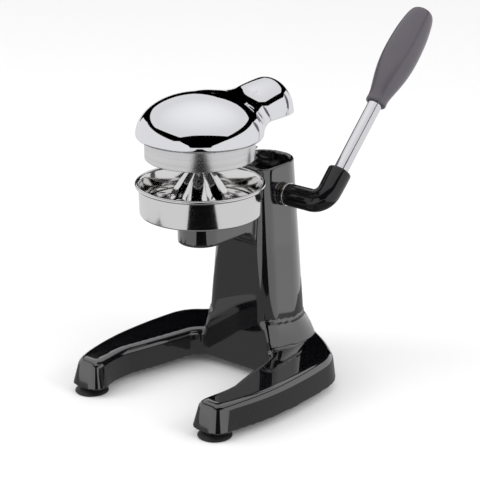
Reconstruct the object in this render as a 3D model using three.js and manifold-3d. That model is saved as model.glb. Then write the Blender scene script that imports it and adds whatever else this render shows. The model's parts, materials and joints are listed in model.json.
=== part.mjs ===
// Manual lever citrus press.
// Millimetres, +Z up. The press stands on z = 0, its lever is on the +X side and its legs point to -Y.
// Everything is laid out with the bowl's axis on x = y = 0, and the whole press is then moved along Y
// so that its origin is the middle of its box on the floor.
import * as THREE from "three";
import { mergeVertices } from "three/addons/utils/BufferGeometryUtils.js";
import Module from "manifold-3d";

const wasm = await Module();
wasm.setup();

// ---------------------------------------------------------------- driving dimensions
const GAP = 0.3; // clearance between pieces that touch
const WALL = 5; // casting wall

const baseBottom = 8.5;
const baseTop = 36.6;
const bayRear = 53.6; // rear edge of the bay between the legs
const columnTop = 224.7;
const columnCavityFloor = 60;
const columnHalfAtFloor = 48.5;
const columnTaper = 0.079; // half-width lost per mm of height
const columnFrontHalf = 24; // half-width of the column's flat front
const columnFrontAtFloor = 53.2; // the flat front, and how far it leans back per mm of height
const columnFrontLean = 0.041;
const columnRearAtFloor = 96.2; // middle of the round rear, and how far it leans back
const columnRearLean = 0.015;
const guideFaceY = 70; // inner face of the column's thick front wall

const bowlSeat = 190.7; // top of the boss that the bowl stands on
const bossRadius = 23;
const bossBottom = 161;
const bossBore = 15;
const bowlRimZ = 223;
const bowlRadius = 61.4;
const bowlRimRadius = 65;
const bowlSheet = 1.2;
const spoutRadius = 13;

const bellRimZ = 248.5;
const bellRadius = 54.8;
const bellSheet = 2;
const bellTop = 296;

const domeRadius = 63.3; // the dome is half an ellipse turned round the bowl's axis
const domeRise = 40;
const domeEquator = 272.5;
const domeApex = domeEquator + domeRise;
const domeLipZ = 269.6;
const domeLipRadius = 55.4;
const coverWall = 3;
const neckHalf = 29.5;
const neckRearY = 99;
const neckBottom = 274;
const neckTop = 307.5;

const toothModule = 1.8;
const pinionTeeth = 17;
const pitchRadius = (toothModule * pinionTeeth) / 2;
const pinionWidth = 14;
const axisY = 93.5; // the lever's axis, along X
const axisZ = 194;
const shaftRadius = 6;

const rackHalf = 8;
const rackFront = guideFaceY + 0.4;
const rackBottom = 172;
const rackTop = 298;

const leverLean = Math.PI / 4; // back from upright, at rest
const rodX = 82; // plane that the rod turns in
const rodRadius = 7.5;
const elbowRadius = 12;
const socketEnd = 38.5; // distances along the rod, from the lever's axis
const gripStart = 120.5;
const gripEnd = 238;
const rodEnd = gripEnd - 40; // the rod stops inside the grip

const footX = 83;
const frontFootY = -76;
const rearFootX = 78;
const rearFootY = 84;
const footRadius = 17.3;
const footTop = baseBottom - GAP;

// ---------------------------------------------------------------- materials
function finish(color, roughness, metalness) {
  return new THREE.MeshStandardMaterial({ color, roughness, metalness });
}
const blackPaint = finish(0x0b0b0d, 0.12, 0.2);
const polishedSteel = finish(0xd8d8da, 0.12, 1);
const brushedSteel = finish(0xb9babc, 0.35, 1);
const chrome = finish(0xe6e7ea, 0.05, 1);
const toothedSteel = finish(0xa8a9ac, 0.4, 0.9);
const rubber = finish(0x0d0d0e, 0.8, 0);
const gripPlastic = finish(0x57535a, 0.45, 0);
const bronze = finish(0xa4793c, 0.4, 0.9);
const guidePlastic = finish(0xdedad0, 0.5, 0);

// ---------------------------------------------------------------- solids
function solidOf(geometry) {
  geometry.deleteAttribute("normal");
  geometry.deleteAttribute("uv");
  const merged = mergeVertices(geometry, 1e-3);
  const mesh = new wasm.Mesh({
    numProp: 3,
    vertProperties: merged.attributes.position.array,
    triVerts: new Uint32Array(merged.index.array),
  });
  return new wasm.Manifold(mesh);
}

function geometryOf(solid) {
  const mesh = solid.getMesh();
  const geometry = new THREE.BufferGeometry();
  geometry.setAttribute("position", new THREE.BufferAttribute(mesh.vertProperties, 3));
  geometry.setIndex(new THREE.BufferAttribute(mesh.triVerts, 1));
  geometry.computeVertexNormals();
  return geometry;
}

// A closed profile of [radius, height] turned round the Z axis.
function turned(profile, segments = 24) {
  const points = profile.map(([radius, height]) => new THREE.Vector2(radius, height));
  return new THREE.LatheGeometry(points, segments).rotateX(Math.PI / 2);
}

// The same profile turned round the X axis, its heights along +X.
function turnedOnX(profile, segments = 24) {
  return turned(profile, segments).rotateY(Math.PI / 2);
}

// A round bar from one height to another, or a ring if it has a bore.
function ring(outer, bore, bottom, top) {
  const corners = [[bore, bottom], [outer, bottom], [outer, top], [bore, top]];
  return bore > 0 ? [...corners, [bore, bottom]] : corners;
}

function shapeOf(points) {
  return new THREE.Shape(points.map(([x, y]) => new THREE.Vector2(x, y)));
}

function prism(points, bottom, top) {
  const options = { depth: top - bottom, bevelEnabled: false };
  return new THREE.ExtrudeGeometry(shapeOf(points), options).translate(0, 0, bottom);
}

// An outline of [y, z] points pushed along X.
function prismOnX(points, left, right) {
  return prism(points, left, right).rotateX(Math.PI / 2).rotateZ(Math.PI / 2);
}

function block(xRange, yRange, zRange) {
  const [x0, x1] = xRange;
  const [y0, y1] = yRange;
  return prism([[x0, y0], [x1, y0], [x1, y1], [x0, y1]], ...zRange);
}

// A solid through outlines that have the same number of points, one at each level.
function loft(levels) {
  const count = levels[0].outline.length;
  const depth = levels.length - 1;
  const flat = new THREE.ExtrudeGeometry(shapeOf(levels[0].outline), {
    depth,
    steps: depth,
    bevelEnabled: false,
  });
  const position = flat.attributes.position;
  for (let i = 0; i < position.count; i += 1) {
    const level = levels[Math.round(position.getZ(i))];
    let nearest = 0;
    let best = Infinity;
    for (let k = 0; k < count; k += 1) {
      const [x, y] = levels[0].outline[k];
      const distance = Math.hypot(x - position.getX(i), y - position.getY(i));
      if (distance < best) {
        best = distance;
        nearest = k;
      }
    }
    position.setXYZ(i, ...level.outline[nearest], level.z);
  }
  return flat;
}

// An outline moved inwards by a distance, point by point along its own normals.
function inset(outline, distance) {
  return outline.map((point, i) => {
    const before = outline[(i + outline.length - 1) % outline.length];
    const after = outline[(i + 1) % outline.length];
    const dx = after[0] - before[0];
    const dy = after[1] - before[1];
    const length = Math.hypot(dx, dy);
    return [point[0] - (dy / length) * distance, point[1] + (dx / length) * distance];
  });
}

function insetLoft(outline, levels) {
  return loft(levels.map(([z, distance]) => ({ z, outline: inset(outline, distance) })));
}

function arc(cx, cy, radius, from, to, steps) {
  const points = [];
  for (let i = 0; i <= steps; i += 1) {
    const angle = from + ((to - from) * i) / steps;
    points.push([cx + radius * Math.cos(angle), cy + radius * Math.sin(angle)]);
  }
  return points;
}

// ---------------------------------------------------------------- scene graph
const juicer = new THREE.Group();
const press = new THREE.Group();
juicer.add(press);

function add(parent, name, shape, material) {
  const geometry = shape.isBufferGeometry ? shape : geometryOf(shape);
  const mesh = new THREE.Mesh(geometry, material);
  mesh.name = name;
  parent.add(mesh);
  return mesh;
}

// ---------------------------------------------------------------- the black casting
// Right half of the horseshoe's outline at the floor, from the middle of the bay round to the rear.
function baseOutline() {
  const half = new THREE.Shape();
  half.moveTo(0, bayRear);
  half.lineTo(34, bayRear);
  half.quadraticCurveTo(44, bayRear, 49, 42);
  half.quadraticCurveTo(57, -4, 65, -34);
  half.quadraticCurveTo(67, -52, 62, -75);
  half.quadraticCurveTo(62, -91, 74, -91);
  half.lineTo(90, -91);
  half.quadraticCurveTo(98, -91, 101.3, -79);
  half.quadraticCurveTo(116.4, -35.5, 116.4, 8);
  half.quadraticCurveTo(116.4, 42, 112.5, 72);
  half.quadraticCurveTo(109, 94, 92, 106);
  half.quadraticCurveTo(68, 128, 40, 141);
  half.quadraticCurveTo(20, 150, 0, 150);
  const right = half.getPoints(4).map((point) => [point.x, point.y]);
  const left = right.slice(1, -1).reverse().map(([x, y]) => [-x, y]);
  return [...right, ...left];
}

// The column's outline at a height, grown by a distance everywhere but at the front.
function columnOutline(z, grow = 0, front = null) {
  const half = columnHalfAtFloor - columnTaper * z + grow;
  const frontY = front ?? columnFrontAtFloor + columnFrontLean * z;
  const rearY = columnRearAtFloor + columnRearLean * z;
  const flat = Math.min(columnFrontHalf, half - 4);
  const corner = half - flat;
  const points = [];
  for (const angle of [-90, -67, -45, -22, 0]) {
    const turn = THREE.MathUtils.degToRad(angle);
    points.push([flat + corner * Math.cos(turn), frontY + corner * (1 + Math.sin(turn))]);
  }
  points.push(...arc(0, rearY, half, 0, Math.PI, 12));
  for (const angle of [180, 202, 225, 247, 270]) {
    const turn = THREE.MathUtils.degToRad(angle);
    points.push([-flat + corner * Math.cos(turn), frontY + corner * (1 + Math.sin(turn))]);
  }
  return points;
}

function columnLoft(levels, front = null) {
  return loft(levels.map(([z, grow]) => ({ z, outline: columnOutline(z, grow, front) })));
}

const armRearY = 68; // the arm ends inside the column's thick front wall

// The arm runs from the round boss back to the column, and curves down into it underneath.
function armSolid() {
  const boss = arc(0, 0, bossRadius, Math.PI, 2 * Math.PI, 20);
  const outline = [...boss, [bossRadius, armRearY], [-bossRadius, armRearY]];
  const levels = [[bossBottom, 3], [bossBottom + 1.2, 1], [bossBottom + 4, 0], [bowlSeat, 0]];
  const arm = solidOf(insetLoft(outline, levels));
  const arch = [
    [43, 162], [48, 160.4], [53, 157.4], [56.5, 153.4], [58.6, 147],
    [armRearY, 147], [armRearY, 165], [43, 165],
  ];
  return arm.add(solidOf(prismOnX(arch, -bossRadius + 1, bossRadius - 1)));
}

const feetPlaces = [
  { name: "front_right", x: footX, y: frontFootY },
  { name: "front_left", x: -footX, y: frontFootY },
  { name: "rear_right", x: rearFootX, y: rearFootY },
  { name: "rear_left", x: -rearFootX, y: rearFootY },
];
const footScrewBore = 2.5;
const wallBore = 9; // holes for the bushes in the column's sides
const skirtMargin = 6; // the column's flared foot stays this far inside the base's edge
const guideScrew = { x: 10.6, z: 203, radius: 1.8, depth: 3.6 };

function frameCasting() {
  const base = insetLoft(baseOutline(), [
    [baseBottom, 0], [29, 5], [32.2, 6.6], [34.8, 9.4], [baseTop, 13.4],
  ]);
  const skirt = columnLoft([[30, 17], [baseTop, 13.5], [39, 9.5], [55.5, 0.6]]);
  const column = columnLoft([[20, 0], [223.4, 0], [columnTop, -1.2]]);
  const cavity = columnLoft([[columnCavityFloor, -WALL], [columnTop + 4, -WALL]], guideFaceY);
  const overBase = prism(inset(baseOutline(), skirtMargin), 20, 80);
  const trimmedSkirt = solidOf(skirt).intersect(solidOf(overBase));
  let casting = solidOf(base).add(trimmedSkirt).add(solidOf(column)).add(armSolid());
  casting = casting.subtract(solidOf(cavity));

  const bowlRelief = turned(ring(bowlRimRadius + 1, 0, bowlSeat, columnTop + 5), 64);
  const boreForSpout = turned(ring(bossBore, 0, bossBottom - 20, bowlSeat + 5));
  casting = casting.subtract(solidOf(bowlRelief)).subtract(solidOf(boreForSpout));

  const shaftHole = turnedOnX(ring(wallBore, 0, -60, 60)).translate(0, axisY, axisZ);
  casting = casting.subtract(solidOf(shaftHole));
  for (const foot of feetPlaces) {
    const hole = turned(ring(footScrewBore, 0, baseBottom - 5, baseBottom + 11), 16);
    casting = casting.subtract(solidOf(hole.translate(foot.x, foot.y, 0)));
  }
  for (const side of [-1, 1]) {
    const hole = turned(ring(guideScrew.radius, 0, -guideScrew.depth, 5), 12).rotateX(-Math.PI / 2);
    hole.translate(side * guideScrew.x, guideFaceY, guideScrew.z);
    casting = casting.subtract(solidOf(hole));
  }
  return casting;
}

// ---------------------------------------------------------------- feet
const footRecess = 2.4;

function rubberFoot() {
  return turned([
    [footScrewBore + 0.2, footRecess], [8.6, footRecess], [10.4, 0], [footRadius - 0.8, 0],
    [footRadius, 0.7], [footRadius - 0.3, 1.8], [14.2, 3.6], [11.8, 5.2], [11, 6.8], [11.6, footTop],
    [footScrewBore + 0.2, footTop], [footScrewBore + 0.2, footRecess],
  ], 20);
}

function footScrew() {
  const head = footRecess - GAP;
  return turned([
    [0, head - 1.8], [3.4, head - 1.8], [4.4, head - 1], [4.4, head], [footScrewBore - 0.4, head],
    [footScrewBore - 0.4, baseBottom + 9], [0, baseBottom + 9],
  ], 12);
}

// ---------------------------------------------------------------- bowl, strainer, reamer
function juiceBowl() {
  const bottom = bowlSeat + GAP;
  const inner = bottom + bowlSheet;
  const foot = bowlRadius - 0.9;
  const spoutEnd = bossBottom + 2;
  const curl = arc(bowlRimRadius - 1.9, bowlRimZ - 1.9, 1.9, -0.8, Math.PI - 0.6, 6);
  return turned([
    [spoutRadius - bowlSheet, spoutEnd], [spoutRadius, spoutEnd], [spoutRadius, bottom - 2],
    [spoutRadius + 2, bottom], [foot - 5, bottom], [foot - 1.5, bottom + 1.4], [foot, bottom + 4.6],
    [bowlRadius, bowlRimZ - 4], ...curl,
    [bowlRadius - bowlSheet, bowlRimZ - 3.6], [foot - bowlSheet, bottom + 5.4],
    [foot - bowlSheet - 1.2, bottom + 2.2], [foot - bowlSheet - 4, inner], [spoutRadius + 1.2, inner],
    [spoutRadius - bowlSheet, inner - 2.4], [spoutRadius - bowlSheet, spoutEnd],
  ], 36);
}

const strainerEdge = 57.6;
const strainerRise = { edgeZ: 199.4, plateauZ: 203.6, plateauRadius: 37 };
const reamerSeat = strainerRise.plateauZ + GAP;

function slot(radius, angle, length, width) {
  const bar = block([radius - length / 2, radius + length / 2], [-width / 2, width / 2], [190, 212]);
  return bar.rotateZ(angle);
}

function strainer() {
  const { edgeZ, plateauZ, plateauRadius } = strainerRise;
  const floor = bowlSeat + GAP + bowlSheet + GAP;
  const sheet = 1.2;
  let plate = solidOf(turned([
    [strainerEdge - sheet, floor + 0.6], [strainerEdge, floor + 0.6], [strainerEdge, edgeZ],
    [strainerEdge - 1, edgeZ + 0.8], [plateauRadius, plateauZ], [17, plateauZ], [17, plateauZ + 5.4],
    [17 - sheet, plateauZ + 5.4], [17 - sheet, plateauZ - sheet], [plateauRadius, plateauZ - sheet],
    [strainerEdge - sheet, edgeZ - 0.8], [strainerEdge - sheet, floor + 0.6],
  ], 36));
  const rings = [
    { radius: 50, count: 18, length: 8, shift: 0.25 },
    { radius: 40.4, count: 18, length: 6, shift: 0.75 },
  ];
  for (const { radius, count, length, shift } of rings) {
    for (let i = 0; i < count; i += 1) {
      const angle = ((i + shift) * 2 * Math.PI) / count;
      plate = plate.subtract(solidOf(slot(radius, angle, length, 2.4)));
    }
  }
  return plate;
}

const reamerRibs = 10;
const reamerProfile = [
  [31, 0], [31, 2.4], [29, 6], [26, 12], [21.6, 19], [16.4, 26.4], [11, 33], [6, 37.8], [2.2, 40.1],
];

function ribbedOutline(radius, depth) {
  const points = [];
  const count = reamerRibs * 4;
  for (let i = 0; i < count; i += 1) {
    const angle = (i * 2 * Math.PI) / count;
    const wave = i % 4 === 0 ? 0 : i % 4 === 2 ? depth : depth * 0.62;
    points.push([(radius - wave) * Math.cos(angle), (radius - wave) * Math.sin(angle)]);
  }
  return points;
}

function reamer() {
  const levels = reamerProfile.map(([radius, height]) => {
    const depth = height < 3 ? 0.4 : Math.min(2.8, radius * 0.16);
    return { z: reamerSeat + height, outline: ribbedOutline(radius, depth) };
  });
  const hollow = [
    [0, -1], [27, -1], [27, 3], [22, 11], [15, 22], [7, 32], [0, 35],
  ].map(([radius, height]) => [radius, reamerSeat + height]);
  const flange = turned(ring(34, 20, reamerSeat, reamerSeat + 1.8), 40);
  return solidOf(loft(levels)).add(solidOf(flange)).subtract(solidOf(turned(hollow, 24)));
}

// ---------------------------------------------------------------- press head
const postRadius = 8;
const bellScrewBore = 2.6;

function pressBell() {
  const r = bellRadius;
  const s = bellSheet;
  const t = bellTop;
  return turned([
    [r - s, bellRimZ], [r, bellRimZ], [r, 272], [r - 1.4, 276.5], [50, 281.5], [40, 288.6], [26, 294],
    [14, t], [bellScrewBore + 0.3, t], [bellScrewBore + 0.3, t - s], [14, t - s], [25.4, 292], [38.8, 286.8],
    [48.4, 280], [r - s - 1.2, 275.6], [r - s, 272], [r - s, bellRimZ],
  ], 32);
}

// The dome's curve from its equator to its crown, thinner by a distance all over.
function domeCurve(thinner, steps) {
  const points = [];
  for (let i = 0; i < steps; i += 1) {
    const angle = (i * Math.PI) / 2 / steps;
    const radius = (domeRadius - thinner) * Math.cos(angle);
    points.push([radius, domeEquator + (domeRise - thinner) * Math.sin(angle)]);
  }
  points.push([0, domeApex - thinner]);
  return points;
}

function neckOutline() {
  return [[neckHalf, 20], ...arc(0, neckRearY, neckHalf, 0, Math.PI, 14), [-neckHalf, 20]];
}

function headCover() {
  const dome = turned([
    [0, domeLipZ], [58.5, domeLipZ], [61.4, domeLipZ + 0.5], [62.8, domeLipZ + 1.6], ...domeCurve(0, 8),
  ], 36);
  const neck = insetLoft(neckOutline(), [
    [neckBottom, 1], [neckBottom + 1.2, 0], [291, 0.8], [297.5, 3], [302.4, 7], [305.8, 12.4], [neckTop, 19],
  ]);
  const domeHollow = turned([
    [0, domeLipZ + 2], [58.5, domeLipZ + 2], ...domeCurve(coverWall, 6),
  ], 28);
  const neckHollow = insetLoft(neckOutline(), [
    [neckBottom - 3, coverWall], [291, coverWall + 0.8], [297.5, 6], [301, 9], [neckTop - coverWall, 15.4],
  ]);
  const mouth = turned(ring(domeLipRadius + 0.6, 0, domeLipZ - 4, domeLipZ + 4), 36);
  const post = turned(ring(postRadius, 0, bellTop + GAP, domeApex - 1), 20);
  const rackRib = block([-13, 13], [63.5, rackFront - GAP], [276, neckTop - 1.4]);
  const screwHole = turned(ring(bellScrewBore, 0, bellTop - 1, bellTop + 10), 16);
  let cover = solidOf(dome).add(solidOf(neck));
  cover = cover.subtract(solidOf(domeHollow)).subtract(solidOf(neckHollow)).subtract(solidOf(mouth));
  cover = cover.add(solidOf(post)).add(solidOf(rackRib)).subtract(solidOf(screwHole));
  for (const z of rackScrewHeights) {
    const hole = turned(ring(rackScrewBore, 0, -5.4, 3), 12).rotateX(-Math.PI / 2);
    cover = cover.subtract(solidOf(hole.translate(0, rackFront, z)));
  }
  return cover;
}

function bellScrew() {
  const seat = bellTop - bellSheet - GAP;
  return turned([
    [0, seat - 2.6], [5, seat - 2.6], [6.4, seat - 1.2], [6.4, seat], [bellScrewBore - GAP, seat],
    [bellScrewBore - GAP, bellTop + 9], [0, bellTop + 9],
  ], 16);
}

// ---------------------------------------------------------------- rack and pinion
const backlash = 0.34; // taken off each tooth's thickness at the pitch line
const rackScrewBore = 2.2;
const rackScrewHeights = [282, 292];
const pitch = Math.PI * toothModule;

function rackBar() {
  const pitchY = axisY - pitchRadius;
  const tipY = pitchY + toothModule;
  const rootY = pitchY - 1.25 * toothModule;
  const atPitch = pitch / 4 - backlash / 2;
  const slope = Math.tan(THREE.MathUtils.degToRad(20));
  const halfTip = atPitch - toothModule * slope;
  const halfRoot = atPitch + 1.25 * toothModule * slope;
  const outline = [[rackFront, rackTop], [rackFront, rackBottom], [rootY, rackBottom]];
  // a gap between two teeth lies level with the pinion's axis
  const firstTooth = Math.ceil((rackBottom + 3 - axisZ) / pitch - 0.5) + 0.5;
  for (let k = firstTooth; axisZ + k * pitch < rackTop - 24; k += 1) {
    const z = axisZ + k * pitch;
    outline.push([rootY, z - halfRoot], [tipY, z - halfTip], [tipY, z + halfTip], [rootY, z + halfRoot]);
  }
  outline.push([rootY, rackTop]);
  let rack = solidOf(prismOnX(outline, -rackHalf, rackHalf));
  for (const z of rackScrewHeights) {
    const hole = turned(ring(rackScrewBore + 0.3, 0, -6, 12), 16).rotateX(-Math.PI / 2);
    rack = rack.subtract(solidOf(hole.translate(0, rackFront, z)));
  }
  const pinHole = turnedOnX(ring(stopPinRadius + GAP, 0, -20, 20), 16).translate(0, stopPinY, stopPinZ);
  return rack.subtract(solidOf(pinHole));
}

const stopPinRadius = 1.5;
const stopPinY = rackFront + 2.7;
const stopPinZ = 176;

function rackStopPin() {
  return turnedOnX(ring(stopPinRadius, 0, -11.6, 11.6), 16).translate(0, stopPinY, stopPinZ);
}

function rackScrew(z) {
  const seat = axisY - pitchRadius - 1.25 * toothModule - rackFront + GAP;
  const profile = [
    [0, -5], [rackScrewBore - GAP, -5], [rackScrewBore - GAP, seat], [4, seat], [4, seat + 1.6],
    [3, seat + 2.6], [0, seat + 2.6],
  ];
  return turned(profile, 14).rotateX(-Math.PI / 2).translate(0, rackFront, z);
}

const guideDepth = 6;

// A slim block each side of the rack keeps it upright against the column's front wall.
function rackGuide(side) {
  const xRange = [rackHalf + GAP, rackHalf + GAP + 5].map((x) => side * x).sort((a, b) => a - b);
  const guide = block(xRange, [guideFaceY + GAP, guideFaceY + guideDepth], [187.5, 216]);
  const hole = turned(ring(guideScrew.radius + 0.2, 0, -2, 10), 12).rotateX(-Math.PI / 2);
  hole.translate(side * guideScrew.x, guideFaceY, guideScrew.z);
  return solidOf(guide).subtract(solidOf(hole));
}

function rackGuideScrew(side) {
  const shank = guideScrew.radius - GAP;
  const seat = guideDepth + GAP;
  const profile = [
    [0, -guideScrew.depth + GAP], [shank, -guideScrew.depth + GAP], [shank, seat], [2.3, seat],
    [2.3, seat + 1.3], [0, seat + 1.3],
  ];
  const screw = turned(profile, 12).rotateX(-Math.PI / 2);
  return screw.translate(side * guideScrew.x, guideFaceY, guideScrew.z);
}

const rollPinRadius = 1.5;

function pinion() {
  const outer = pitchRadius + toothModule * 0.96;
  const root = pitchRadius - 1.2 * toothModule;
  const atPitch = (pitch / 4 - backlash / 2) / pitchRadius;
  const flank = [
    [root, 1.56], [pitchRadius - 0.9, 1.27], [pitchRadius, 1], [pitchRadius + 0.95, 0.72], [outer, 0.4],
  ];
  const outline = [];
  for (let i = 0; i < pinionTeeth; i += 1) {
    const middle = Math.PI + (i * 2 * Math.PI) / pinionTeeth;
    const side = (sign) => ([radius, part]) => {
      const angle = middle + sign * part * atPitch;
      return [radius * Math.cos(angle), radius * Math.sin(angle)];
    };
    outline.push(...flank.map(side(-1)), ...[...flank].reverse().map(side(1)));
  }
  const wheel = prismOnX(outline, -pinionWidth / 2, pinionWidth / 2);
  const boss = turnedOnX(ring(10.5, 0, pinionWidth / 2 - 1, pinionWidth / 2 + 8));
  const bore = turnedOnX(ring(shaftRadius + GAP, 0, -30, 30));
  return solidOf(wheel).add(solidOf(boss)).subtract(solidOf(bore)).subtract(solidOf(rollPinHole()));
}

const rollPinX = pinionWidth / 2 + 4;

function rollPinHole() {
  return turned(ring(rollPinRadius + GAP, 0, -20, 20), 12).translate(rollPinX, 0, 0);
}

function rollPin() {
  return turned(ring(rollPinRadius, 0, -10, 10), 12).translate(rollPinX, 0, 0);
}

const shaftLeftEnd = -31;
const shaftRightEnd = 52;
const clipGrooveX = -22.4;

function pinionShaft() {
  const r = shaftRadius;
  const profile = [
    [0, shaftLeftEnd], [r - 0.8, shaftLeftEnd], [r, shaftLeftEnd + 0.8], [r, clipGrooveX - 0.9],
    [r - 1.2, clipGrooveX - 0.9], [r - 1.2, clipGrooveX + 0.9], [r, clipGrooveX + 0.9],
    [r, shaftRightEnd], [0, shaftRightEnd],
  ];
  return solidOf(turnedOnX(profile)).subtract(solidOf(rollPinHole()));
}

function retainingClip() {
  const ringSolid = solidOf(turnedOnX(ring(9, shaftRadius - 0.9, clipGrooveX - 0.6, clipGrooveX + 0.6)));
  const gap = block([clipGrooveX - 3, clipGrooveX + 3], [-2.4, 2.4], [0, 20]);
  return ringSolid.subtract(solidOf(gap));
}

// Flanged bush in the column's side wall, its flange inside the column.
function shaftBush(side) {
  const wallOuter = columnHalfAtFloor - columnTaper * axisZ;
  const inside = wallOuter - WALL - 1.1;
  const flangeFace = inside - 1.6;
  const outerEnd = wallOuter - 2.4;
  const bore = shaftRadius + GAP;
  const bush = turnedOnX([
    [bore, flangeFace], [11.4, flangeFace], [11.4, inside], [wallBore - GAP, inside],
    [wallBore - GAP, outerEnd], [bore, outerEnd], [bore, flangeFace],
  ]);
  if (side < 0) bush.rotateZ(Math.PI);
  return bush.translate(0, axisY, axisZ);
}

function bearingCap() {
  const face = columnHalfAtFloor - columnTaper * axisZ + 1;
  return turnedOnX([
    [0, -face - 3], [6, -face - 2.7], [10, -face - 1.6], [11.2, -face], [wallBore - GAP, -face],
    [wallBore - GAP, -face + 2.2], [0, -face + 2.2],
  ]).translate(0, axisY, axisZ);
}

// ---------------------------------------------------------------- lever
const washerX = 34.4;
const washerStepX = 36.2; // a narrower collar up to here, then the wide ring
const elbowX = 38.6;

function hubWasher() {
  return turnedOnX([
    [shaftRadius + GAP, washerX], [10, washerX], [10, washerStepX], [11.8, washerStepX],
    [12.2, washerStepX + 0.5], [12.2, elbowX - 0.7],
    [11.8, elbowX - GAP], [shaftRadius + GAP, elbowX - GAP], [shaftRadius + GAP, washerX],
  ]);
}

// The elbow's middle line leaves the shaft along X and turns into the rod's direction.
function elbow() {
  const path = new THREE.CurvePath();
  const bend = 24;
  const hub = new THREE.Vector3(elbowX, 0, 0);
  const bendStart = new THREE.Vector3(rodX - bend, 0, 0);
  const corner = new THREE.Vector3(rodX, 0, 0);
  const bendEnd = new THREE.Vector3(rodX, 0, bend);
  const socket = new THREE.Vector3(rodX, 0, socketEnd);
  path.add(new THREE.LineCurve3(hub, bendStart));
  path.add(new THREE.QuadraticBezierCurve3(bendStart, corner, bendEnd));
  path.add(new THREE.LineCurve3(bendEnd, socket));
  const section = shapeOf(arc(0, 0, elbowRadius, 0, 2 * Math.PI, 18).slice(0, -1));
  const body = new THREE.ExtrudeGeometry(section, { steps: 12, extrudePath: path, bevelEnabled: false });
  const shaftSocket = turnedOnX(ring(shaftRadius + GAP, 0, 0, shaftRightEnd + GAP));
  const rodSocket = turned(ring(rodRadius + GAP, 0, rodStart - GAP, 80)).translate(rodX, 0, 0);
  const grubHole = turned(ring(grubRadius + GAP, 0, 0, 20), 12).translate(grubX, 0, 0);
  const holes = solidOf(shaftSocket).add(solidOf(rodSocket)).add(solidOf(grubHole));
  return solidOf(body).subtract(holes);
}

const rodStart = 26;
const rodWall = 1.5;
const grubRadius = 2.5;
const grubX = 44;

function grubScrew() {
  const profile = ring(grubRadius, 0, shaftRadius + GAP, elbowRadius - 1);
  return turned(profile, 12).translate(grubX, 0, 0);
}

function leverRod() {
  return turned(ring(rodRadius, rodRadius - rodWall, rodStart, rodEnd)).translate(rodX, 0, 0);
}

function grip() {
  const along = (fraction) => gripStart + (gripEnd - gripStart) * fraction;
  const bore = rodRadius + GAP;
  return turned([
    [bore, along(0)], [10.2, along(0)], [11, along(0.012)], [10.9, along(0.06)], [11.6, along(0.105)],
    [13.6, along(0.18)], [15.7, along(0.26)], [17.5, along(0.35)], [18.5, along(0.44)], [18.8, along(0.53)],
    [18.5, along(0.63)], [17.7, along(0.73)], [16.3, along(0.82)], [14.2, along(0.91)], [11.8, along(0.965)],
    [8.4, along(0.99)], [4, along(1)], [0, along(1)], [0, rodEnd + GAP], [bore, rodEnd + GAP],
    [bore, along(0)],
  ], 18).translate(rodX, 0, 0);
}

// ---------------------------------------------------------------- assembly
add(press, "frame_casting", frameCasting(), blackPaint);
for (const foot of feetPlaces) {
  add(press, `foot_${foot.name}`, rubberFoot(), rubber).position.set(foot.x, foot.y, 0);
  add(press, `foot_screw_${foot.name}`, footScrew(), toothedSteel).position.set(foot.x, foot.y, 0);
}
add(press, "juice_bowl", juiceBowl(), polishedSteel);
add(press, "strainer", strainer(), polishedSteel);
add(press, "reamer_cone", reamer(), polishedSteel);
add(press, "shaft_bush_right", shaftBush(1), bronze);
add(press, "shaft_bush_left", shaftBush(-1), bronze);
add(press, "bearing_cap", bearingCap(), blackPaint);
for (const [name, side] of [["right", 1], ["left", -1]]) {
  add(press, `rack_guide_${name}`, rackGuide(side), guidePlastic);
  add(press, `rack_guide_screw_${name}`, rackGuideScrew(side), toothedSteel);
}

const head = new THREE.Group();
press.add(head);
add(head, "head_cover", headCover(), chrome);
add(head, "press_bell", pressBell(), brushedSteel);
add(head, "bell_screw", bellScrew(), toothedSteel);
add(head, "rack_bar", rackBar(), toothedSteel);
add(head, "rack_stop_pin", rackStopPin(), toothedSteel);
rackScrewHeights.forEach((z, i) => {
  add(head, `rack_screw_${["lower", "upper"][i]}`, rackScrew(z), toothedSteel);
});

const drive = new THREE.Group();
drive.position.set(0, axisY, axisZ);
press.add(drive);
add(drive, "pinion", pinion(), toothedSteel);
add(drive, "pinion_roll_pin", rollPin(), toothedSteel);
add(drive, "pinion_shaft", pinionShaft(), toothedSteel);
add(drive, "retaining_clip", retainingClip(), toothedSteel);
add(drive, "hub_washer", hubWasher(), brushedSteel);

const lever = new THREE.Group();
lever.rotation.x = -leverLean;
drive.add(lever);
add(lever, "lever_elbow", elbow(), blackPaint);
add(lever, "elbow_grub_screw", grubScrew(), toothedSteel);
add(lever, "lever_rod", leverRod(), chrome);
add(lever, "lever_grip", grip(), gripPlastic);

const box = new THREE.Box3().setFromObject(juicer, true);
press.position.y = -(box.min.y + box.max.y) / 2;

export default juicer;
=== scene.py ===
# Manual lever citrus press: surfaces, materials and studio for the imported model.
# Shapes are worked out in millimetres with the bowl's axis on x = y = 0 and the floor at z = 0,
# and are moved into the row frame, in metres, when their mesh is made.
import json
import math

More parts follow.
